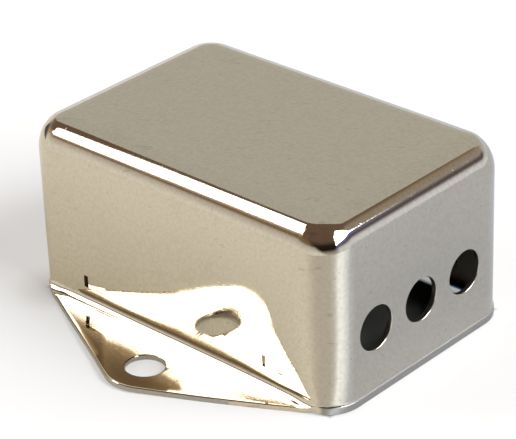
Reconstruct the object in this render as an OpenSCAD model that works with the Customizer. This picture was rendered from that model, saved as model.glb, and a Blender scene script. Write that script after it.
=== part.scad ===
// Deep-drawn sheet-steel case for a small wired module.
// One blank, drawn to a five-sided can with the open side down, its flange trimmed
// close to the end walls and left standing on the long walls as two pointed ears.
// The drawing leaves the corners upright and the long walls between them a little hollow.
//
// Frame: origin in the middle of the open base plane, +Z up to the closed top,
// +X towards the end wall with the wire holes, +Y and -Y towards the ears.

/* [Case] */
// Length of the can along X, outside the walls
case_length = 50.8; // [44:0.1:70]
// Width of the can along Y, outside the walls
case_width = 34.4; // [30:0.1:50]
// Height from the base plane to the closed top
case_height = 25; // [20:0.1:40]
// Thickness of the drawn sheet
sheet = 0.7; // [0.5:0.05:1.2]
// Outside radius of the four upright corners
corner_radius = 5; // [4.8:0.1:8]
// Outside radius where the walls turn into the top
crown_radius = 4.5; // [2:0.1:4.7]

/* [Long walls] */
// How far each long wall is drawn in at the open edge, behind the line of its corners
draw_in = 1; // [0.5:0.05:1.5]
// Height below which a long wall is upright again
draw_in_low = 5.5; // [5.5:0.5:8]
// Height where the inward bend of a long wall turns into the outward one
draw_in_middle = 16.5; // [10:0.5:17]
// Height from which the drawing in starts, just below the crown
draw_in_top = 20.2; // [18:0.1:20.4]
// Radius of the round that blends a drawn-in wall into its corners
blend_radius = 10; // [8:1:20]

/* [Flange] */
// Radius of the outward turn from the walls into the flange
fold_radius = 0.8; // [0.6:0.1:2]
// How far the trimmed edge stands out from the end walls
trim_lip = 0.15; // [0.1:0.05:0.5]

/* [Ears] */
// Distance between the fixing holes of the two ears
ear_hole_pitch = 45; // [42:0.5:64]
// Diameter of the fixing hole in each ear
ear_hole_d = 5; // [3:0.1:5.5]
// Radius of the rounded ear tip
ear_tip_radius = 5.2; // [4:0.1:7]

/* [Wire holes] */
// Number of wire holes in the end wall
wire_holes = 3; // [1:1:3]
// Diameter of each wire hole
wire_hole_d = 5.8; // [3:0.1:6.5]
// Distance from hole to hole along the row
wire_hole_pitch = 8.4; // [7.5:0.1:9]
// Height of the row above the base plane
wire_hole_height = 9.4; // [6:0.1:14]
// Sideways offset of the row from the middle of the end wall
wire_row_offset = -0.3; // [-1:0.1:1]

/* [Stop nibs] */
// Height of the middle of each nib above the base plane
nib_height = 4.5; // [4:0.1:6]
// Size of each nib along the wall
nib_length = 3.8; // [3:0.1:5]
// Size of each nib up the wall
nib_width = 2.1; // [1.5:0.1:3]
// How far the sheared end of each nib is pressed in
nib_depth = 0.6; // [0.3:0.05:0.65]
// Distance between the sheared ends of the two nibs on one wall
nib_pitch = 30.2; // [24:0.1:32]
// Offset of the pair of sheared ends from the middle of the wall
nib_offset = -0.9; // [-2:0.1:2]

/* [Hidden] */
$fn = 96;

// Rectangle through the centres of the upright corners
spine_x = case_length / 2 - corner_radius;
spine_y = case_width / 2 - corner_radius;

// Long wall: its distance from the middle at the open edge, and the two arcs of its bend
low_reach = case_width / 2 - draw_in;
bend_angle = 2 * atan(draw_in / (draw_in_top - draw_in_low));
low_bend = (draw_in_middle - draw_in_low) / sin(bend_angle);
high_bend = (draw_in_top - draw_in_middle) / sin(bend_angle);

// Plan of a drawn-in wall: the blending round has its centre outside the can, level with blend_x,
// and touches both the wall and the round of the corner
blend_reach = low_reach - spine_y + blend_radius;
blend_turn = acos(blend_reach / (corner_radius + blend_radius));
blend_x = spine_x - blend_reach * tan(blend_turn);
blend_centre = [blend_x, low_reach + blend_radius];

// Width of flange that the press leaves all round, before it is trimmed
raw_flange = ear_hole_pitch / 2 + ear_tip_radius - low_reach + 1;

// Straight edge of an ear: its direction square to the edge, from the two arcs that it touches
tip_y = ear_hole_pitch / 2;
trim_radius = corner_radius + trim_lip;
tip_to_corner = [spine_x, spine_y - tip_y];
edge_angle = atan2(tip_to_corner[1], tip_to_corner[0])
    + acos((ear_tip_radius - trim_radius) / norm(tip_to_corner));

// Room by which a cutting tool runs past the face it cuts
clear = 1;

// Quarter of a bent sheet between two radii, seen end on, in the quadrant given by its signs
module bend(inner, outer, side_x, side_y) {
    intersection() {
        difference() {
            circle(r = outer);
            circle(r = inner);
        }
        translate([side_x > 0 ? 0 : -outer, side_y > 0 ? 0 : -outer]) square(outer);
    }
}

// Section of the solid can outwards from the centre of an upright corner, with Y as the height.
// The inset is 0 for the outside and the sheet for the inside.
module can_section(inset) {
    crown_x = corner_radius - crown_radius;
    crown_z = case_height - crown_radius;
    foot = inset > 0 ? clear : 0;

    translate([0, -foot]) square([corner_radius - inset, crown_z + foot]);
    translate([0, crown_z]) square([crown_x, crown_radius - inset]);
    translate([crown_x, crown_z])
        intersection() {
            circle(r = crown_radius - inset);
            square(crown_radius);
        }
}

// The can as a solid: a length on each side, a turn at each corner and the core between them
module can(inset) {
    foot = inset > 0 ? clear : 0;
    for (turn = [0 : 3]) {
        along = turn % 2 == 0 ? spine_y : spine_x;
        out = turn % 2 == 0 ? spine_x : spine_y;
        rotate(90 * turn) {
            translate([out, along, 0])
                rotate([90, 0, 0])
                    linear_extrude(height = 2 * along) can_section(inset);
            translate([out, along, 0])
                rotate_extrude(angle = 90) can_section(inset);
        }
    }
    translate([-spine_x, -spine_y, -foot])
        cube([2 * spine_x, 2 * spine_y, case_height - inset + foot]);
}

// What the drawing in takes off a long wall, seen end on: X is the distance from the middle.
// Below the low bend the wall is upright, and the high bend runs out level with the corners.
module draw_in_section(inset) {
    split = draw_in_middle + inset * sin(bend_angle);
    near = low_reach - inset;
    depth = draw_in + 4;

    translate([near, -2 * clear]) square([depth, draw_in_low + 2 * clear]);
    intersection() {
        translate([near, draw_in_low]) square([depth, split - draw_in_low]);
        translate([low_reach + low_bend, draw_in_low]) circle(r = low_bend + inset);
    }
    difference() {
        translate([near, split]) square([depth, draw_in_top - split]);
        translate([case_width / 2 - high_bend, draw_in_top]) circle(r = high_bend - inset);
    }
}

// The same, seen from above: the stretch between the corners, blended into both of them
module draw_in_plan(inset) {
    translate([-blend_x, low_reach - inset]) square([2 * blend_x, blend_radius]);
    for (side_x = [-1, 1])
        translate([side_x * blend_x, blend_centre[1]]) circle(r = blend_radius + inset);
}

module draw_in_cuts(inset) {
    for (side_y = [0, 1])
        mirror([0, side_y, 0])
            intersection() {
                translate([-case_length / 2, 0, 0])
                    rotate([90, 0, 90])
                        linear_extrude(height = case_length) draw_in_section(inset);
                translate([0, 0, -2 * clear])
                    linear_extrude(height = case_height) draw_in_plan(inset);
            }
}

module body(inset) {
    difference() {
        can(inset);
        draw_in_cuts(inset);
    }
}

// Section of the outward turn and the flange beyond it, for a wall whose outside is at X = 0
module fold_section(flange) {
    translate([fold_radius, sheet + fold_radius]) bend(fold_radius, fold_radius + sheet, -1, -1);
    translate([fold_radius, 0]) square([flange - fold_radius, sheet]);
}

// Outward turn and flange all round: along the walls, round the corners and round the blends
module folds() {
    for (side_x = [0, 1], side_y = [0, 1])
        mirror([side_x, 0, 0])
            mirror([0, side_y, 0]) {
                translate([spine_x, spine_y, 0])
                    rotate([90, 0, 0])
                        linear_extrude(height = spine_y)
                            translate([corner_radius, 0]) fold_section(raw_flange);
                translate([spine_x, spine_y, 0])
                    rotate_extrude(angle = 90 + blend_turn)
                        translate([corner_radius, 0]) fold_section(raw_flange);
                translate([blend_centre[0], blend_centre[1], 0])
                    rotate(-90)
                        rotate_extrude(angle = blend_turn)
                            translate([blend_radius, 0])
                                mirror([1, 0]) fold_section(blend_radius - clear);
                rotate([90, 0, 90])
                    linear_extrude(height = blend_x)
                        translate([low_reach, 0]) fold_section(raw_flange);
            }
}

// The press stroke: the sheet between the two skins of the can, turned out into the flange
module drawn_blank() {
    difference() {
        body(0);
        body(sheet);
        translate([-case_length, -case_width, -clear])
            cube([2 * case_length, 2 * case_width, sheet + fold_radius + clear]);
    }
    folds();
}

// Outline that the trimming die leaves: arcs round the corners and the ear tips,
// joined by straight edges that touch both
module trim_outline() {
    corner = [spine_x, spine_y];
    tip = [0, tip_y];
    square_to_edge = [cos(edge_angle), sin(edge_angle)];
    from = corner + trim_radius * square_to_edge;
    to = tip + ear_tip_radius * square_to_edge;

    square([2 * spine_x, 2 * (spine_y + trim_radius)], center = true);
    square([2 * (spine_x + trim_radius), 2 * spine_y], center = true);
    for (side_x = [-1, 1], side_y = [-1, 1])
        translate([side_x * spine_x, side_y * spine_y]) circle(r = trim_radius);
    for (side_y = [0, 1])
        mirror([0, side_y]) {
            translate(tip) circle(r = ear_tip_radius);
            polygon([
                corner, from, to, tip,
                [-to[0], to[1]], [-from[0], from[1]], [-corner[0], corner[1]]
            ]);
        }
}

// Outline of a nib, with its sheared end at X = 0 and its rounded root at X = nib_length
module nib_outline() {
    root = nib_width * 0.45;
    translate([0, -nib_width / 2]) square([nib_length - root, nib_width]);
    translate([0, root - nib_width / 2])
        square([nib_length, nib_width - 2 * root]);
    for (side = [-1, 1])
        translate([nib_length - root, side * (nib_width / 2 - root)]) circle(r = root);
}

// A nib's outline run straight through the wall. Local X is along the wall, Y into the case
module nib_prism() {
    translate([0, nib_depth + sheet + clear, 0])
        rotate([90, 0, 0])
            linear_extrude(height = nib_depth + sheet + 2 * clear) nib_outline();
}

// Layer of a nib between two depths behind its ramp, which falls from the root of the nib
// to the sheared end
module nib_layer(from, to) {
    translate([0, 0, -nib_width])
        linear_extrude(height = 2 * nib_width)
            polygon([
                [0, nib_depth + from], [nib_length, from],
                [nib_length, to], [0, nib_depth + to]
            ]);
}

// Places its children at both nibs of both long walls, with local Y into the case
module at_nibs() {
    for (side_y = [0, 1], end_x = [-1, 1])
        mirror([0, side_y, 0])
            translate([nib_offset + end_x * nib_pitch / 2, -low_reach, nib_height])
                children();
}

// What each nib leaves open in front of its ramp
module nib_recesses() {
    at_nibs()
        intersection() {
            nib_prism();
            nib_layer(-nib_depth - 2 * clear, 0);
        }
}

// The sheet that each nib pushes in behind its ramp
module nib_bosses() {
    at_nibs()
        intersection() {
            nib_prism();
            nib_layer(0, sheet);
        }
}

module wire_hole_drills() {
    for (hole = [0 : wire_holes - 1])
        translate([
            case_length / 2 - sheet - clear,
            wire_row_offset + (hole - (wire_holes - 1) / 2) * wire_hole_pitch,
            wire_hole_height
        ])
            rotate([0, 90, 0]) cylinder(h = sheet + 2 * clear, d = wire_hole_d);
}

module ear_hole_drills() {
    for (side = [-1, 1])
        translate([0, side * tip_y, -clear])
            cylinder(h = sheet + 2 * clear, d = ear_hole_d);
}

module drawn_case() {
    color([0.76, 0.73, 0.66])
        difference() {
            union() {
                intersection() {
                    drawn_blank();
                    linear_extrude(height = case_height) trim_outline();
                }
                nib_bosses();
            }
            nib_recesses();
            wire_hole_drills();
            ear_hole_drills();
        }
}

drawn_case();
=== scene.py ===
import math

import bmesh
import bpy
from mathutils import Matrix, Vector


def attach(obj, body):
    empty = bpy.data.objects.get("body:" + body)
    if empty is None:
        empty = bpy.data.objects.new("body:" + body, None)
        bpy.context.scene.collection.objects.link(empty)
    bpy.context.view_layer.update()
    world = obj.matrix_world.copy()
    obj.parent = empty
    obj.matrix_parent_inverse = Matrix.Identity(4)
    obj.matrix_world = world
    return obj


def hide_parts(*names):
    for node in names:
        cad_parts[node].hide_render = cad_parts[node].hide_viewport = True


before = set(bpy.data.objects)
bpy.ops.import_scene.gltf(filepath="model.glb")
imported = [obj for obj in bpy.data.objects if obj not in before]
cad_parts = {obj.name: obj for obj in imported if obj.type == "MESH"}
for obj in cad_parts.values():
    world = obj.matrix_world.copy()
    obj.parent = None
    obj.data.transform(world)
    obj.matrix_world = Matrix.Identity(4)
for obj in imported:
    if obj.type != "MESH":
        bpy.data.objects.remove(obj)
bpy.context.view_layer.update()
mm = 0.001
bendPoints = 200      # steps in which a quarter turn is worked out

# Sizes of the drawn case, in millimetres and degrees
case = {
    "length": 50.8,
    "width": 34.4,
    "height": 25.0,
    "sheet": 0.7,
    "corner": 5.0,        # outside radius of the upright corners
    "footHeight": 2,      # where the outline of the walls is taken for the trimming
    "sideNormal": (0.72, 0.97),   # Y part of a direction outwards that makes it a long wall's
    "crown": 4.5,         # outside radius into the top
    "crownPinch": 0.32,   # how much tighter the crown turns half way
    "pinchGain": 0.26,    # more of that towards the +X end of the long walls
    "gainReach": 14,      # x to either side between which that grows
    "pinchAt": (40, 10.5),    # angle where the pinch is strongest, and how far it spreads
    "crownBulge": 0.42,   # and how much wider it turns there lower down
    "bulgeAt": (57, 7),
    "crownRun": 0.3,      # how much wider all of it turns just above the wall
    "runAt": (75, 10),
    "foldEnd": 0.8,       # outward turn at the end walls
    "foldSide": 1.2,      # softer outward turn above the ears
    "foldEntry": 2.2,     # how much more slowly that fold starts than a round one
    "entryAt": (0, 5),
    "foldPinch": 0.5,     # and how much faster it turns after that
    "tightAt": (19, 12),
    "lip": 0.15,          # trimmed edge beyond the end walls
    "earPitch": 45.0,
    "earTip": 5.2,
    "reachMost": 14.0,    # more than the ear stands out anywhere
    "earDrop": 4.3,       # angle by which the ear still falls where the fold ends
    "earSettle": 2.1,     # width over which it levels out
    "earTwist": 0.14,     # angle per millimetre that it is turned up on the -X half
    "earLevel": 5.0,      # x from which it lies level
    "earCup": 1.3,        # angle that its outer part is turned up
    "cupFrom": 3.4,       # distance from the fold where that starts
    "cupSoft": 1.5,       # width over which it comes in
    "cupEnds": (12, 5),   # x where it is gone, and where it is full
    "roll": 0.22,         # rolled-over upper rim of the sheared ear
    "rollFrom": 0.3,      # width of flange from which the rim is that round
    "trimRoll": 0.03,     # rim where there is less
    "cornerSteps": 26,
    "endSteps": 24,
    "sideSteps": 84,
    "crownSteps": 20,
    "wallSteps": 34,
    "foldSteps": 12,
    "flangeSteps": 8,
    "rollSteps": 5,
    "sharpFrom": 38,      # angle between two faces from which their edge stays sharp
}
# Hollow of the long walls: deepest low down on the -X half, gone at the corners and the crown
hollow = {
    "depth": 0.905,
    "low": 6.4,           # height where the middle of the wall starts to lean out again
    "lowDrift": 4.4,      # how much higher that is at the +X end
    "high": 21.3,         # height where the hollow ends
    "belly": 20.5,        # height of the arch that the next four values scale
    "tiltLeft": 0.15,
    "tiltRight": -0.30,
    "round": 0.12,
    "twist": -0.80,
    "span": 20.0,         # half the stretch of wall over which they change
    "hold": 0.68,         # part of that half past which nothing changes on the -X side
    "blend": 0.35,        # softness of the turn into the corners
    "blendFrom": 0.6,     # distance from the wall at which it starts
}
# Holes, nibs and what the cutting leaves, in millimetres
openings = {
    "earHole": 5.0,
    "wireHole": 5.8,
    "wirePitch": 8.4,
    "wireHeight": 9.4,
    "wireOffset": -0.3,
    "rim": 0.14,          # soft rim that the punch pulls in
    "rimSteps": 5,
    "punchSteps": 72,
    "seat": 0.05,         # how far above the level ear its punch stops
    "over": 1,            # how far a cutter stands out of the sheet
    "nibLength": 3.8,
    "nibWidth": 1.65,
    "nibDepth": 0.30,
    "nibRound": 0.45,     # corner radius of a nib as a part of its width
    "nibSteps": 6,
    "nibStarts": [(-16.9, 3.7), (14.1, 4.25)],   # x and height of the deep end
    "cutSlack": 0.02,     # how far from its cut a sheared face may lie
    "cutTilt": 0.3,       # and how far it may lean
    "wireFrom": 20,       # x beyond which a face can belong to a wire hole
    "edgeStep": 0.06,     # a face this near to the trimmed outline and
    "edgeHeight": 1.4,    # below this height was cut by the trimming die,
    "edgeTilt": 0.6,      # unless it leans more than this
}


def smoothStep(a, b, x):
    t = min(max((x - a) / (b - a), 0), 1)
    return t * t * (3 - 2 * t)


def sideReach(x, z):
    # How far a long wall stands from the middle, at x along it and height z
    along = max(x / hollow["span"], -hollow["hold"])
    up = min(max(z / hollow["belly"], 0), 1)
    lean = 1 - smoothStep(hollow["low"] + hollow["lowDrift"] * along, hollow["high"], z)
    tilt = hollow["tiltLeft"] if along < 0 else hollow["tiltRight"]
    arch = tilt * along + hollow["round"] * along ** 2 + hollow["twist"] * along ** 3
    return case["width"] / 2 - hollow["depth"] * lean - arch * 4 * up * (1 - up)


def softMin(a, b, k):
    h = min(max(0.5 + 0.5 * (b - a) / k, 0), 1)
    return b + (a - b) * h - k * h * (1 - h)


def cornerPlace():
    # Centre of the upright corner at +X and +Y
    return case["length"] / 2 - case["corner"], case["width"] / 2 - case["corner"]


def spinePoint(s):
    # Centre and outward angle at s, which runs from 0 to 8 round the case: straights on even numbers
    x, y = cornerPlace()
    leg, t = int(s) % 8, s - int(s)
    corners = [(x, y), (-x, y), (-x, -y), (x, -y)]
    if leg % 2 == 0:
        a, b = Vector(corners[leg // 2 - 1]), Vector(corners[leg // 2])
        return a.lerp(b, t), leg * 45
    return Vector(corners[leg // 2]), (leg // 2) * 90 + 90 * t


def wallPoint(s, z):
    centre, angle = spinePoint(s)
    a = math.radians(angle)
    p = centre + case["corner"] * Vector((math.cos(a), math.sin(a)))
    reach = sideReach(p.x, z)
    if z < hollow["high"] and abs(p.y) > reach - hollow["blendFrom"]:
        p.y = math.copysign(min(softMin(abs(p.y), reach, hollow["blend"]), abs(p.y)), p.y)
    return p


def wallNormal(s, z):
    # From the points just before and after, where the round closes at 8
    d = wallPoint(s + 0.01, z) - wallPoint(s - 0.01 if s > 0.01 else s + 7.99, z)
    return Vector((d.y, -d.x)).normalized()


def insideTrim(p):
    # The outline that the trimming die leaves
    x, y = cornerPlace()
    r = case["corner"] + case["lip"]
    q = Vector((abs(p.x), abs(p.y)))
    if math.hypot(max(q.x - x, 0), max(q.y - y, 0)) <= r:
        return True
    tip = case["earPitch"] / 2
    if math.hypot(q.x, q.y - tip) <= case["earTip"]:
        return True
    run = Vector((x, y - tip))
    turn = math.atan2(run.y, run.x) + math.acos((case["earTip"] - r) / run.length)
    across = Vector((math.cos(turn), math.sin(turn)))
    along = Vector((across.y, -across.x))
    if q.dot(across) > Vector((0, tip)).dot(across) + case["earTip"]:
        return False
    to = Vector((0, tip)).dot(along)
    start = Vector((x, y)).dot(along)
    return min(to, start) <= q.dot(along) <= max(to, start) and q.y > y


def trimReach(s):
    # How far the trimmed outline stands out from the wall
    p, n = wallPoint(s, case["footHeight"]), wallNormal(s, case["footHeight"])
    low, high = 0.0, case["reachMost"]
    for _ in range(40):
        t = (low + high) / 2
        if insideTrim(p + n * t):
            low = t
        else:
            high = t
    return low


def bendCurve(radius, weight):
    # A quarter turn that runs and drops by the radius, where weight says how slowly it turns
    points, run, drop, n = [], 0.0, 0.0, bendPoints
    for i in range(n + 1):
        a = 90 * i / n
        points.append([run, drop, math.radians(a)])
        step = weight(a)
        run += step * math.cos(math.radians(a + 45 / n))
        drop += step * math.sin(math.radians(a + 45 / n))
    wide, tall = points[-1][0], points[-1][1]
    return [(radius * p / wide, radius * q / tall, a) for p, q, a in points]


def hump(a, middle, width):
    return math.exp(-((a - middle) / width) ** 2)


def stationShape(s):
    # What the section needs to know about its place round the case
    p, n = wallPoint(s, case["footHeight"]), wallNormal(s, case["footHeight"])
    side = smoothStep(*case["sideNormal"], abs(n.y))
    turn = case["foldEnd"] + (case["foldSide"] - case["foldEnd"]) * side
    reach = trimReach(s)
    eared = side * smoothStep(turn, turn + 1, reach)
    gain = side * min(max((p.x + case["gainReach"]) / (2 * case["gainReach"]), 0), 1)
    pinch, bulge = case["crownPinch"] + case["pinchGain"] * gain, case["crownBulge"] * gain
    entry, tight = case["foldEntry"] * eared, case["foldPinch"] * eared

    def crownWeight(a):
        return (1 - pinch * hump(a, *case["pinchAt"]) + bulge * hump(a, *case["bulgeAt"])
                + case["crownRun"] * hump(a, *case["runAt"]))

    def foldWeight(a):
        return 1 + entry * hump(a, *case["entryAt"]) - tight * hump(a, *case["tightAt"])

    return {
        "turn": turn,
        "reach": reach,
        "drop": eared * math.tan(math.radians(case["earDrop"])),
        "fall": eared * math.tan(math.radians(case["earTwist"] * min(p.x - case["earLevel"], 0))),
        "cup": eared * math.tan(math.radians(case["earCup"])) * smoothStep(*case["cupEnds"], p.x),
        "crown": bendCurve(case["crown"], crownWeight),
        "fold": bendCurve(turn, foldWeight),
    }


def sectionRows():
    # Kind and place of each row from the top down and out, where the last kind ends on its last row
    rows = []
    for kind in ("crown", "wall", "fold", "flange"):
        n = case[kind + "Steps"]
        rows += [(kind, i / n) for i in range(n)]
    return rows + [("roll", i / case["rollSteps"]) for i in range(case["rollSteps"] + 1)]


def earFall(shape, u):
    # How far the ear has dropped at u from the end of the fold
    v = min(u, case["earSettle"])
    w = max(u - case["cupFrom"], 0)
    lifted = w * w / (2 * case["cupSoft"]) if w < case["cupSoft"] else w - case["cupSoft"] / 2
    dropped = v - v * v / (2 * case["earSettle"])
    return shape["fall"] * u + shape["drop"] * dropped - shape["cup"] * lifted


def foldPoint(shape, angle, depth, base):
    # Place on the outward turn at that angle in radians, 0 where it leaves the wall
    down, across, a = shape["fold"][round(angle / math.pi * 2 * bendPoints)]
    return across - depth * math.cos(a), base - down - depth * math.sin(a)


def sectionPoint(row, s, depth, shape):
    # One point of the section: depth is 0 on the outer skin and the sheet on the inner one
    kind, t = row
    crown, turn, reach = case["crown"], shape["turn"], shape["reach"]
    base = case["sheet"] + turn + shape["drop"] * case["earSettle"] / 2
    wide = reach > turn
    if wide:
        lastTurn = math.pi / 2 - math.atan(shape["drop"] + shape["fall"])
    else:
        lastTurn = math.acos((turn - reach) / (turn + depth))
    foldOut, foldZ = foldPoint(shape, lastTurn, depth, base)
    if kind == "crown":
        run, drop, a = shape["crown"][round(t * bendPoints)]
        out = run - crown - depth * math.sin(a)
        z = case["height"] - drop - depth * math.cos(a)
    elif kind == "wall":
        out = -depth
        z = case["height"] - crown + t * (base - case["height"] + crown)
    elif kind == "fold":
        out, z = foldPoint(shape, t * lastTurn, depth, base)
    elif wide:
        roll = case["roll"] if reach > turn + case["rollFrom"] else case["trimRoll"]
        last = reach - roll if depth == 0 else reach
        out = foldOut + (last - foldOut) * (t if kind == "flange" else 1)
        z = foldZ - earFall(shape, out - foldOut)
        if kind == "roll" and depth == 0:
            out += roll * math.sin(t * math.pi / 2)
            z += roll * (math.cos(t * math.pi / 2) - 1)
    else:
        out, z = foldOut, foldZ
        if depth == 0:
            roll = case["trimRoll"]
            rise = t if kind == "flange" else 1
            out = reach - roll * (1 - rise)
            z = base - math.sqrt(max(turn ** 2 - (turn - out) ** 2, 0))
            if kind == "roll":
                z -= roll * t
    p = wallPoint(s, z) + wallNormal(s, z) * out
    return Vector((p.x, p.y, z)) * mm


def stations():
    steps = []
    for leg in range(8):
        n = case["cornerSteps"] if leg % 2 else case["sideSteps" if leg % 4 else "endSteps"]
        steps += [leg + i / n for i in range(n)]
    return steps


def makeSkin(depth):
    # One skin of the sheet: a grid wrapped round the case and laid on the section
    steps, rows = stations(), sectionRows()
    bm = bmesh.new()
    bmesh.ops.create_grid(bm, x_segments=len(steps), y_segments=len(rows) - 1, size=1)
    shapes = [stationShape(s) for s in steps]
    for v in bm.verts:
        i = round((v.co.x + 1) / 2 * len(steps)) % len(steps)
        j = round((v.co.y + 1) / 2 * (len(rows) - 1))
        v.co = sectionPoint(rows[j], steps[i], depth, shapes[i])
    bmesh.ops.remove_doubles(bm, verts=bm.verts, dist=1e-7)
    return bm


def joinInto(target, bm):
    spare = bpy.data.meshes.new("spare")
    bm.to_mesh(spare)
    bm.free()
    target.from_mesh(spare)
    bpy.data.meshes.remove(spare)


def makeShell():
    shell = makeSkin(0)
    joinInto(shell, makeSkin(case["sheet"]))
    edges = [e for e in shell.edges if e.is_boundary]
    rim = [e for e in edges if e.verts[0].co.z < case["height"] / 2 * mm]
    high = [e for e in edges if e.verts[0].co.z > (case["height"] - case["sheet"] / 2) * mm]
    low = [e for e in edges if e not in rim and e not in high]
    for ring in (high, low):
        bmesh.ops.contextual_create(shell, geom=ring)
    bmesh.ops.bridge_loops(shell, edges=rim)
    bmesh.ops.recalc_face_normals(shell, faces=shell.faces)
    return shell


def toObject(bm, name):
    mesh = bpy.data.meshes.new(name)
    bm.to_mesh(mesh)
    bm.free()
    obj = bpy.data.objects.new(name, mesh)
    bpy.context.scene.collection.objects.link(obj)
    return obj


def punch(radius):
    # A turned punch along Z with a soft shoulder, for a sheet from z = 0 down
    bm = bmesh.new()
    rim, steps, over = openings["rim"], openings["rimSteps"], openings["over"]
    profile = [Vector((0, 0, over)), Vector((radius + rim, 0, over)), Vector((radius + rim, 0, 0))]
    for i in range(1, steps + 1):
        a = math.radians(90 * i / steps)
        profile.append(Vector((radius + rim * (1 - math.sin(a)), 0, -rim * (1 - math.cos(a)))))
    profile += [Vector((r, 0, -case["sheet"] - over)) for r in (radius, 0)]
    verts = [bm.verts.new(p) for p in profile]
    edges = [bm.edges.new(pair) for pair in zip(verts, verts[1:])]
    bmesh.ops.spin(bm, geom=verts + edges, axis=(0, 0, 1), cent=(0, 0, 0),
                   steps=openings["punchSteps"], angle=math.tau, use_merge=True)
    bmesh.ops.remove_doubles(bm, verts=bm.verts, dist=1e-5)
    bmesh.ops.recalc_face_normals(bm, faces=bm.faces)
    return bm


def nibBlock(back, front):
    # A block along the ramp of a nib, from its back at that height to the ramp plus its front
    bm = bmesh.new()
    length, width, depth = openings["nibLength"], openings["nibWidth"], openings["nibDepth"]
    root, n = width * openings["nibRound"], openings["nibSteps"]
    outline = [Vector((0, -width / 2, back)), Vector((0, width / 2, back))]
    for side in (1, -1):
        for i in range(n + 1):
            a = math.radians(90 * (1 - i / n) if side > 0 else -90 * i / n)
            outline.append(Vector((length - root + root * math.cos(a),
                                   side * (width / 2 - root) + root * math.sin(a), back)))
    face = bm.faces.new([bm.verts.new(p) for p in outline])
    made = bmesh.ops.extrude_face_region(bm, geom=[face])["geom"]
    for v in [g for g in made if isinstance(g, bmesh.types.BMVert)]:
        v.co.z = depth * (1 - v.co.x / length) + front
    bmesh.ops.remove_doubles(bm, verts=bm.verts, dist=1e-5)
    bmesh.ops.recalc_face_normals(bm, faces=bm.faces)
    return bm


def nibPlaces():
    # Local X runs along the wall, Y up it and Z into the case
    for side in (1, -1):
        into = Matrix(((1, 0, 0, 0), (0, 0, side, 0), (0, 1, 0, 0), (0, 0, 0, 1)))
        for x, z in openings["nibStarts"]:
            yield Matrix.Translation((x, -side * sideReach(x + 1, z), z)) @ into


def addTo(target, bm, matrix):
    bmesh.ops.transform(bm, matrix=Matrix.Scale(mm, 4) @ matrix, verts=bm.verts)
    joinInto(target, bm)


def carve(obj, cutter, operation):
    mod = obj.modifiers.new("carve", "BOOLEAN")
    mod.operation = operation
    mod.solver = "EXACT"
    mod.object = cutter
    graph = bpy.context.evaluated_depsgraph_get()
    mesh = bpy.data.meshes.new_from_object(obj.evaluated_get(graph), depsgraph=graph)
    obj.modifiers.clear()
    old = obj.data
    obj.data = mesh
    bpy.data.meshes.remove(old)
    bpy.data.objects.remove(cutter)


def wireHoleCentres():
    return [openings["wireOffset"] + i * openings["wirePitch"] for i in (-1, 0, 1)]


def makeCase():
    shell = toObject(makeShell(), "drawnCase")
    holes, bosses, recesses = bmesh.new(), bmesh.new(), bmesh.new()
    for side in (-1, 1):
        addTo(holes, punch(openings["earHole"] / 2),
              Matrix.Translation((0, side * case["earPitch"] / 2, case["sheet"] + openings["seat"])))
    for y in wireHoleCentres():
        addTo(holes, punch(openings["wireHole"] / 2),
              Matrix.Translation((case["length"] / 2, y, openings["wireHeight"]))
              @ Matrix.Rotation(math.pi / 2, 4, "Y"))
    for place in nibPlaces():
        addTo(bosses, nibBlock(case["sheet"] / 2, case["sheet"]), place)
        addTo(recesses, nibBlock(-openings["over"], 0), place)
    for cutter in (holes, bosses, recesses):
        bmesh.ops.recalc_face_normals(cutter, faces=cutter.faces)
    carve(shell, toObject(bosses, "nibBosses"), "UNION")
    carve(shell, toObject(recesses, "nibRecesses"), "DIFFERENCE")
    carve(shell, toObject(holes, "holePunches"), "DIFFERENCE")
    return shell


def isSheared(face):
    # Faces that a punch or the trimming die cut, and not the plated sheet's own skin
    c, n = face.center / mm, face.normal
    slack, tilt = openings["cutSlack"], openings["cutTilt"]
    near = math.hypot(c.x, abs(c.y) - case["earPitch"] / 2) < openings["earHole"] / 2 + slack
    if near and abs(n.z) < tilt:
        return True
    for y in wireHoleCentres():
        near = math.hypot(c.y - y, c.z - openings["wireHeight"]) < openings["wireHole"] / 2 + slack
        if near and c.x > openings["wireFrom"] and abs(n.x) < tilt:
            return True
    edge = Vector((c.x + openings["edgeStep"] * n.x, c.y + openings["edgeStep"] * n.y))
    return c.z < openings["edgeHeight"] and abs(n.z) < openings["edgeTilt"] and not insideTrim(edge)


shell = makeCase()
shell.data.shade_smooth()
shell.data.set_sharp_from_angle(angle=math.radians(case["sharpFrom"]))
weights = shell.modifiers.new("evenNormals", "WEIGHTED_NORMAL")
weights.mode = "FACE_AREA"
weights.keep_sharp = True
weights.weight = 50
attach(shell, "root")
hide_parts("drawn_case")
print("case made:", len(shell.data.polygons), "faces")


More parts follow.
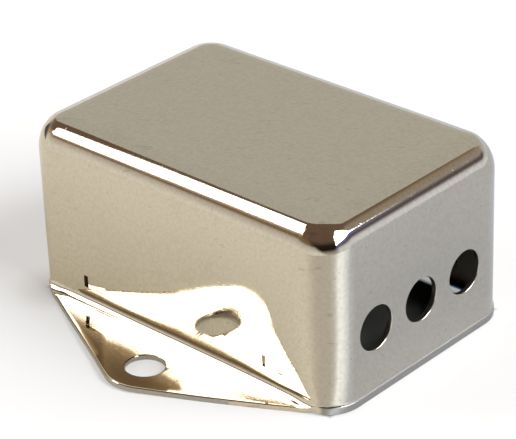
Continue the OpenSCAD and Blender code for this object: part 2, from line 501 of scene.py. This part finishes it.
# Finishes: plating that is bright and a little wavy, and the plain steel of the cut edges.
# Sizes are millimetres from lump to lump, heights are millimetres, a cut is where a pattern
# starts and is full, and a depth is the share of the tint that it takes at most.
nickel = {
    "tint": (0.62, 0.56, 0.46, 1),
    "stain": (0.33, 0.28, 0.20, 1),
    "roughness": 0.035,
    "hazeRoughness": 0.09,
    "hazeSize": 6.0,
    "hazeCut": (0.42, 0.75),
    "peelSize": 1.3,
    "peelHeight": 0.0011,
    "waveSize": 9.0,
    "waveHeight": 0.006,
    "gritSize": 0.24,
    "gritHeight": 0.002,
    "scratchSize": 4.0,
    "scratchCut": (0.79, 0.84),
    "scratchTurns": [(0.5, (14, 0.35, 14)), (1.9, (10, 0.3, 10)), (2.7, (12, 0.4, 12))],
    "scratchTip": 0.3,      # turn about Y of them all
    "scratchHeight": 0.0012,
    "scratchDepth": 0.30,
    "grainSize": 0.45,
    "grainCut": (0.38, 0.62),
    "grainDepth": 0.07,
    "speckSize": 1.5,
    "speckRadius": (0.035, 0.085),
    "speckPick": (0.84, 0.88),
    "speckDepth": 0.7,
    "cloudSize": 7.0,       # stains lie where clouds and blots both are
    "cloudCut": (0.55, 0.78),
    "blotSize": 1.6,
    "blotCut": (0.35, 0.7),
    "stainDepth": 0.16,
}
cutSteel = {
    "tint": (0.42, 0.40, 0.36, 1),
    "burr": (0.33, 0.31, 0.28, 1),
    "roughness": 0.34,
    "grainSize": 0.12,
    "grainStretch": (1, 1, 0.5),
    "grainCut": (0.45, 0.75),
    "grainHeight": 0.008,
}


def addNode(tree, kind, settings=None, values=None):
    node = tree.nodes.new(kind)
    for name, value in (settings or {}).items():
        setattr(node, name, value)
    for name, value in (values or {}).items():
        if isinstance(value, bpy.types.NodeSocket):
            tree.links.new(value, node.inputs[name])
        else:
            node.inputs[name].default_value = value
    return node


def softStep(tree, value, low, high):
    step = addNode(tree, "ShaderNodeMapRange", {"interpolation_type": "SMOOTHSTEP"},
                   {"Value": value, "From Min": low, "From Max": high})
    return step.outputs["Result"]


def mathNode(tree, operation, a, b=0.0):
    return addNode(tree, "ShaderNodeMath", {"operation": operation}, {0: a, 1: b}).outputs[0]


def times(tree, a, b):
    return mathNode(tree, "MULTIPLY", a, b)


def dotNode(tree, a, b):
    return addNode(tree, "ShaderNodeVectorMath", {"operation": "DOT_PRODUCT"}, {0: a, 1: b}).outputs["Value"]


def mixTint(tree, factor, a, b):
    mix = addNode(tree, "ShaderNodeMix", {"data_type": "RGBA"}, {0: factor, 6: a, 7: b})
    return mix.outputs[2]


def bandRamp(tree, value, stops):
    # Colours at places from 0 to 1, blended in between
    ramp = addNode(tree, "ShaderNodeValToRGB", None, {0: value})
    marks = ramp.color_ramp.elements
    while len(marks) < len(stops):
        marks.new(1.0)
    for mark, (at, colour) in zip(marks, stops):
        mark.position = at
        mark.color = (*colour, 1)
    return ramp.outputs[0]


def noiseNode(tree, place, size, detail, stretch=(1, 1, 1)):
    # Noise whose lumps are about that many millimetres apart
    scaled = addNode(tree, "ShaderNodeMapping", None,
                     {"Vector": place, "Scale": [v / (size * mm) for v in stretch]})
    noise = addNode(tree, "ShaderNodeTexNoise", None,
                    {"Vector": scaled.outputs[0], "Scale": 1.0, "Detail": detail, "Roughness": 0.5})
    return noise.outputs["Fac"]


def makeGroup(name, outputs):
    group = bpy.data.node_groups.new(name, "ShaderNodeTree")
    group.interface.new_socket("Place", in_out="INPUT", socket_type="NodeSocketVector")
    for out in outputs:
        group.interface.new_socket(out, in_out="OUTPUT", socket_type="NodeSocketFloat")
    place = group.nodes.new("NodeGroupInput").outputs["Place"]
    return group, place, group.nodes.new("NodeGroupOutput")


def drawnSurface():
    # Orange peel, slow waves and grit that the drawing leaves, and fine scratches from handling
    group, place, out = makeGroup("drawnSurface", ["Height", "Haze", "Lines"])
    height = None
    for kind, detail in (("peel", 3.0), ("wave", 1.0), ("grit", 1.0)):
        part = times(group, noiseNode(group, place, nickel[kind + "Size"], detail), nickel[kind + "Height"])
        height = part if height is None else mathNode(group, "ADD", height, part)
    marks = None
    for turn, stretch in nickel["scratchTurns"]:
        spun = addNode(group, "ShaderNodeMapping", None,
                       {"Vector": place, "Rotation": (turn, nickel["scratchTip"], turn)})
        noise = noiseNode(group, spun.outputs[0], nickel["scratchSize"], 0.0, stretch)
        lines = softStep(group, noise, *nickel["scratchCut"])
        marks = lines if marks is None else mathNode(group, "MAXIMUM", marks, lines)
        height = mathNode(group, "SUBTRACT", height, times(group, lines, nickel["scratchHeight"]))
    haze = softStep(group, noiseNode(group, place, nickel["hazeSize"], 4.0), *nickel["hazeCut"])
    group.links.new(height, out.inputs["Height"])
    group.links.new(haze, out.inputs["Haze"])
    group.links.new(marks, out.inputs["Lines"])
    return group


def platingFlaws():
    # Pin-prick specks, a few faint stains and the grain of the plating
    group, place, out = makeGroup("platingFlaws", ["Specks", "Stains", "Grain"])
    scaled = addNode(group, "ShaderNodeMapping", None,
                     {"Vector": place, "Scale": [1 / (nickel["speckSize"] * mm)] * 3})
    cells = addNode(group, "ShaderNodeTexVoronoi", {"feature": "F1"},
                    {"Vector": scaled.outputs[0], "Scale": 1.0})
    beyond = softStep(group, cells.outputs["Distance"], *nickel["speckRadius"])
    pick = addNode(group, "ShaderNodeSeparateColor", None, {"Color": cells.outputs["Color"]})
    some = softStep(group, pick.outputs[0], *nickel["speckPick"])
    specks = times(group, mathNode(group, "SUBTRACT", 1.0, beyond), some)
    clouds = softStep(group, noiseNode(group, place, nickel["cloudSize"], 5.0), *nickel["cloudCut"])
    blots = softStep(group, noiseNode(group, place, nickel["blotSize"], 3.0), *nickel["blotCut"])
    grain = softStep(group, noiseNode(group, place, nickel["grainSize"], 4.0), *nickel["grainCut"])
    group.links.new(specks, out.inputs["Specks"])
    group.links.new(times(group, clouds, blots), out.inputs["Stains"])
    group.links.new(grain, out.inputs["Grain"])
    return group


def newMaterial(name):
    mat = bpy.data.materials.new(name)
    mat.use_nodes = True
    return mat, mat.node_tree


def objectPlace(tree):
    return addNode(tree, "ShaderNodeTexCoord").outputs["Object"]


def platedNickel():
    mat, tree = newMaterial("platedNickel")
    shader = tree.nodes["Principled BSDF"]
    place = objectPlace(tree)
    surface = addNode(tree, "ShaderNodeGroup", {"node_tree": drawnSurface()}, {0: place}).outputs
    flaws = addNode(tree, "ShaderNodeGroup", {"node_tree": platingFlaws()}, {0: place}).outputs
    shader.inputs["Metallic"].default_value = 1
    tint = nickel["tint"]
    for mask, depth, colour in ((flaws["Stains"], "stainDepth", nickel["stain"]),
                                (flaws["Specks"], "speckDepth", nickel["stain"]),
                                (surface["Lines"], "scratchDepth", nickel["stain"]),
                                (flaws["Grain"], "grainDepth", (0, 0, 0, 1))):
        tint = mixTint(tree, times(tree, mask, nickel[depth]), tint, colour)
    tree.links.new(tint, shader.inputs["Base Color"])
    rough = addNode(tree, "ShaderNodeMapRange", None,
                    {"Value": surface["Haze"], "To Min": nickel["roughness"],
                     "To Max": nickel["hazeRoughness"]})
    tree.links.new(rough.outputs["Result"], shader.inputs["Roughness"])
    bump = addNode(tree, "ShaderNodeBump", None,
                   {"Height": surface["Height"], "Distance": mm, "Strength": 1.0})
    tree.links.new(bump.outputs["Normal"], shader.inputs["Normal"])
    return mat


def shearedSteel():
    mat, tree = newMaterial("shearedSteel")
    shader = tree.nodes["Principled BSDF"]
    grain = noiseNode(tree, objectPlace(tree), cutSteel["grainSize"], 2.0, cutSteel["grainStretch"])
    shader.inputs["Metallic"].default_value = 1
    shader.inputs["Roughness"].default_value = cutSteel["roughness"]
    tint = mixTint(tree, softStep(tree, grain, *cutSteel["grainCut"]), cutSteel["tint"], cutSteel["burr"])
    tree.links.new(tint, shader.inputs["Base Color"])
    bump = addNode(tree, "ShaderNodeBump", None,
                   {"Height": grain, "Distance": cutSteel["grainHeight"] * mm, "Strength": 1.0})
    tree.links.new(bump.outputs["Normal"], shader.inputs["Normal"])
    return mat


shell.data.materials.clear()
shell.data.materials.append(platedNickel())
shell.data.materials.append(shearedSteel())
for face in shell.data.polygons:
    face.material_index = 1 if isSheared(face) else 0
print("plating and cut edges made")


# Floor: white to the camera, with painted shade by the foot of the left corner and under the case. What the
# plating mirrors of it is painted light and shade, a glow seen in reflections only, that changes round the
# front corner
ground = {
    "half": 3,                            # metres from the middle to its edge
    "tint": (0.50, 0.50, 0.50, 1),
    "paintedUnderShade": (0.10, 0.10, 0.09, 1),      # painted shade under the case, which these X and Y distances bound
    "underX": (23.6, 24.6),
    "underY": (15.4, 16.4),
    "seen": (0.395, 0.395, 0.395, 1),     # added where the camera looks
    "foot": (0.25, 0.24, 0.22, 1),        # a painted shade: the same, darker, by the foot of the left corner
    "footPlace": (-23.5, -16),
    "footSize": 7,
    "pivot": (23, -16),
    "mirrored": [                         # painted light and shade, a glow added in reflections only, by the turn round the pivot
        (-180, (0.33, 0.31, 0.22)), (-112, (0.33, 0.31, 0.22)), (-100, (0.32, 0.30, 0.21)),
        (-87, (0.20, 0.18, 0.09)), (-75, (0.10, 0.08, 0.02)), (-60, (0.05, 0.04, 0.0)),
        (-32, (0.06, 0.05, 0.0)), (-21, (0.17, 0.18, 0.20)), (-13, (0.41, 0.48, 0.53)),
        (-6, (0.78, 0.88, 0.98)), (5, (0.72, 0.84, 0.97)), (17, (0.43, 0.56, 0.71)),
        (29, (0.10, 0.18, 0.29)), (45, (0.02, 0.07, 0.16)), (120, (0.02, 0.08, 0.18)),
        (180, (0.33, 0.31, 0.22)),
    ],
}


def offsets(tree, split, place):
    # X and Y from a place on the floor
    return [mathNode(tree, "SUBTRACT", split.outputs[k], v * mm) for k, v in zip("XY", place)]


def glowNode(tree, tint, strength):
    return addNode(tree, "ShaderNodeEmission", None, {"Color": tint, "Strength": strength}).outputs[0]


def addShaders(tree, a, b):
    return addNode(tree, "ShaderNodeAddShader", None, {0: a, 1: b}).outputs[0]


def makeFloor():
    bm = bmesh.new()
    bmesh.ops.create_grid(bm, x_segments=1, y_segments=1, size=ground["half"])
    floor = toObject(bm, "floor")
    mat, tree = newMaterial("paleFloor")
    tree.nodes.clear()
    path = addNode(tree, "ShaderNodeLightPath").outputs
    split = addNode(tree, "ShaderNodeSeparateXYZ", None, {0: objectPlace(tree)})
    # Mask that is 0 under the case and 1 beyond it: under the case the floor takes painted shade and has no
    # glow
    beyond = []
    for k in "XY":
        low, high = ground["under" + k]
        beyond.append(softStep(tree, mathNode(tree, "ABSOLUTE", split.outputs[k]), low * mm, high * mm))
    clear = mathNode(tree, "MAXIMUM", *beyond)

    # Painted light and shade of the floor, a glow that only reflections show
    x, y = offsets(tree, split, ground["pivot"])
    turn = mathNode(tree, "MULTIPLY_ADD", mathNode(tree, "ARCTAN2", y, x), 0.5 / math.pi)
    turn.node.inputs[2].default_value = 0.5
    tint = bandRamp(tree, turn, [((a + 180) / 360, c) for a, c in ground["mirrored"]])
    mirrored = glowNode(tree, tint, times(tree, path["Is Glossy Ray"], clear))

    # Painted shade by the foot of the left corner: the camera's glow there is darker, fading out over that
    # size
    x, y = offsets(tree, split, ground["footPlace"])
    square = mathNode(tree, "ADD", times(tree, x, x), times(tree, y, y))
    away = softStep(tree, mathNode(tree, "SQRT", square), 0.0, ground["footSize"] * mm)
    seen = glowNode(tree, mixTint(tree, away, ground["foot"], ground["seen"]),
                    times(tree, path["Is Camera Ray"], clear))

    # Painted shade under the case: a dark floor colour there
    lit = mixTint(tree, clear, ground["paintedUnderShade"], ground["tint"])
    diffuse = addNode(tree, "ShaderNodeBsdfDiffuse", None, {"Color": lit}).outputs[0]
    out = addNode(tree, "ShaderNodeOutputMaterial")
    tree.links.new(addShaders(tree, diffuse, addShaders(tree, mirrored, seen)), out.inputs["Surface"])
    floor.data.materials.append(mat)


# Where the photo was taken from, in metres and degrees
viewpoint = {
    "place": (0.18301, -0.19531, 0.15872),
    "turn": 43.344,
    "down": 28.812,
    "roll": -2.206,
    "lens": 169.13,
    "sensor": 36,
    "clip": (0.01, 50),
}


def makeCamera():
    cam = bpy.data.cameras.new("camera")
    cam.sensor_width = viewpoint["sensor"]
    cam.lens = viewpoint["lens"]
    cam.clip_start, cam.clip_end = viewpoint["clip"]
    obj = bpy.data.objects.new("camera", cam)
    turn = (Matrix.Rotation(math.radians(viewpoint["turn"]), 4, "Z")
            @ Matrix.Rotation(math.radians(90 - viewpoint["down"]), 4, "X")
            @ Matrix.Rotation(math.radians(viewpoint["roll"]), 4, "Z"))
    obj.matrix_world = Matrix.Translation(viewpoint["place"]) @ turn
    bpy.context.scene.collection.objects.link(obj)
    bpy.context.scene.camera = obj


# Surroundings that the plating mirrors: pale low down, brown above, with a window ahead of the
# long wall and one beside the end wall. Each quarter has its bands by the sine of the height,
# and gives way to the next between two turns in degrees from +X. A patch has its light, the
# softness of its rim, and its corners: their X part and their lift in degrees from -Y over the
# top. Its sides are great circles. The camera itself sees plain white.
room = {
    "ahead": [
        (0.0, (0.98, 0.98, 0.93)), (0.10, (1.0, 0.98, 0.92)), (0.175, (0.90, 0.87, 0.80)),
        (0.254, (0.78, 0.75, 0.69)), (0.33, (0.67, 0.62, 0.56)), (0.37, (0.48, 0.40, 0.33)),
        (0.40, (0.25, 0.18, 0.13)), (0.435, (0.30, 0.22, 0.15)), (0.475, (0.25, 0.18, 0.12)),
        (0.54, (0.20, 0.135, 0.09)), (1.0, (0.19, 0.125, 0.09)),
    ],
    "corner": [
        (0.0, (0.62, 0.60, 0.57)), (0.08, (0.45, 0.42, 0.40)), (0.17, (0.14, 0.12, 0.10)),
        (0.23, (0.015, 0.012, 0.010)), (0.42, (0.03, 0.022, 0.018)), (0.50, (0.10, 0.07, 0.05)),
        (0.60, (0.17, 0.115, 0.085)), (1.0, (0.19, 0.125, 0.09)),
    ],
    "beside": [
        (0.0, (0.88, 0.95, 1.08)), (0.08, (0.95, 1.02, 1.16)), (0.17, (0.86, 0.89, 0.99)),
        (0.215, (0.60, 0.60, 0.66)), (0.26, (0.27, 0.25, 0.28)), (0.30, (0.14, 0.12, 0.13)),
        (0.36, (0.15, 0.13, 0.14)), (0.41, (0.30, 0.28, 0.28)), (0.46, (0.43, 0.39, 0.36)),
        (0.63, (0.40, 0.33, 0.26)), (0.67, (0.32, 0.25, 0.19)), (0.71, (0.21, 0.15, 0.10)),
        (1.0, (0.19, 0.125, 0.09)),
    ],
    "behind": [
        (0.0, (0.80, 0.85, 0.95)), (0.215, (0.72, 0.73, 0.77)), (0.46, (0.50, 0.46, 0.42)),
        (0.63, (0.40, 0.33, 0.26)), (0.67, (0.32, 0.25, 0.19)), (0.71, (0.21, 0.15, 0.10)),
        (1.0, (0.19, 0.125, 0.09)),
    ],
    "cornerTurns": (-51, -31),
    "cornerLean": 100,        # how much that border leans, in degrees from the floor to the zenith
    "besideTurns": (-18, 2),
    "behindTurns": (58, 78),
    "aheadTurns": (95, 150),
    "capAim": (-0.438, 0.622, 0.650),     # the even patch that the top mirrors
    "capEdge": (0.807, 0.819),
    "capTint": (0.62, 0.615, 0.57, 1),
    "flankTint": (0.14, 0.11, 0.11, 1),   # dark far to the left
    "flankX": (-0.98, -0.90),
    "flankY": (0.10, 0.22),
}
lights = {
    "ember": (0.58, 0.38, 0.21, 1),
    "glow": (1.0, 0.8, 0.56, 1),
    "window": (6.0, 6.0, 6.0, 1),
    "violet": (0.20, 0.22, 0.62, 1),
    "sun": (12.5, 12.7, 13.0, 1),
}
patches = [
    ("ember", 0.03, [(-0.94, 40), (-0.68, 40), (-0.66, 57), (-0.94, 50)]),
    ("glow", 0.05, [(-0.72, 36.6), (-0.47, 36.6), (-0.44, 60), (-0.69, 60)]),
    ("window", 0.015, [(-0.71, 40.2), (-0.50, 40.2), (-0.465, 52), (-0.545, 84.6), (-0.59, 84.5),
                       (-0.625, 82)]),
    ("window", 0.01, [(-0.765, 43.5), (-0.70, 43.5), (-0.70, 52.5), (-0.765, 51.5)]),
    ("violet", 0.01, [(0.49, 101), (0.575, 140), (0.655, 152.5), (0.90, 132), (0.945, 58), (0.72, 82)]),
    ("sun", 0.01, [(0.49, 101), (0.57, 137), (0.60, 146.0), (0.85, 124), (0.92, 64), (0.72, 82)]),
]


def aimAt(across, lift):
    rest = math.sqrt(1 - across ** 2)
    a = math.radians(lift)
    return Vector((across, -rest * math.cos(a), rest * math.sin(a)))


def skyPatch(tree, aim, corners, soft):
    # 1 inside a patch of sky with straight sides between the corners, 0 outside
    aims = [aimAt(*c) for c in corners]
    middle = sum(aims, Vector())
    inside = None
    for a, b in zip(aims, aims[1:] + aims[:1]):
        side = a.cross(b).normalized()
        side = side if side.dot(middle) > 0 else -side
        dot = dotNode(tree, aim, side)
        inside = dot if inside is None else mathNode(tree, "MINIMUM", inside, dot)
    return softStep(tree, inside, -soft, soft)


def between(tree, turn, degrees):
    return softStep(tree, turn, *[math.radians(d) for d in degrees])


def makeWorld():
    world = bpy.data.worlds.new("studio")
    world.use_nodes = True
    tree = world.node_tree
    tree.nodes.clear()
    aim = addNode(tree, "ShaderNodeTexCoord").outputs["Generated"]
    split = addNode(tree, "ShaderNodeSeparateXYZ", None, {0: aim}).outputs
    turn = mathNode(tree, "ARCTAN2", split["Y"], split["X"])
    leant = mathNode(tree, "ADD", turn, times(tree, split["Z"], math.radians(room["cornerLean"])))
    ahead, corner, beside, behind = [bandRamp(tree, split["Z"], room[k])
                                     for k in ("ahead", "corner", "beside", "behind")]
    tint = mixTint(tree, between(tree, leant, room["cornerTurns"]), ahead, corner)
    tint = mixTint(tree, between(tree, turn, room["besideTurns"]), tint, beside)
    tint = mixTint(tree, between(tree, turn, room["behindTurns"]), tint, behind)
    tint = mixTint(tree, between(tree, turn, room["aheadTurns"]), tint, ahead)
    cap = softStep(tree, dotNode(tree, aim, room["capAim"]), *room["capEdge"])
    tint = mixTint(tree, cap, tint, room["capTint"])
    offFlank = mathNode(tree, "MAXIMUM", softStep(tree, split["X"], *room["flankX"]),
                        softStep(tree, split["Y"], *room["flankY"]))
    tint = mixTint(tree, offFlank, room["flankTint"], tint)
    for light, soft, corners in patches:
        tint = mixTint(tree, skyPatch(tree, aim, corners, soft), tint, lights[light])
    tint = mixTint(tree, addNode(tree, "ShaderNodeLightPath").outputs["Is Camera Ray"], tint, (1, 1, 1, 1))
    back = addNode(tree, "ShaderNodeBackground", None, {"Color": tint, "Strength": 1.0})
    out = addNode(tree, "ShaderNodeOutputWorld")
    tree.links.new(back.outputs[0], out.inputs["Surface"])
    bpy.context.scene.world = world


makeFloor()
makeCamera()
makeWorld()
bpy.context.scene.view_settings.view_transform = "Standard"
print("floor, camera and light made")
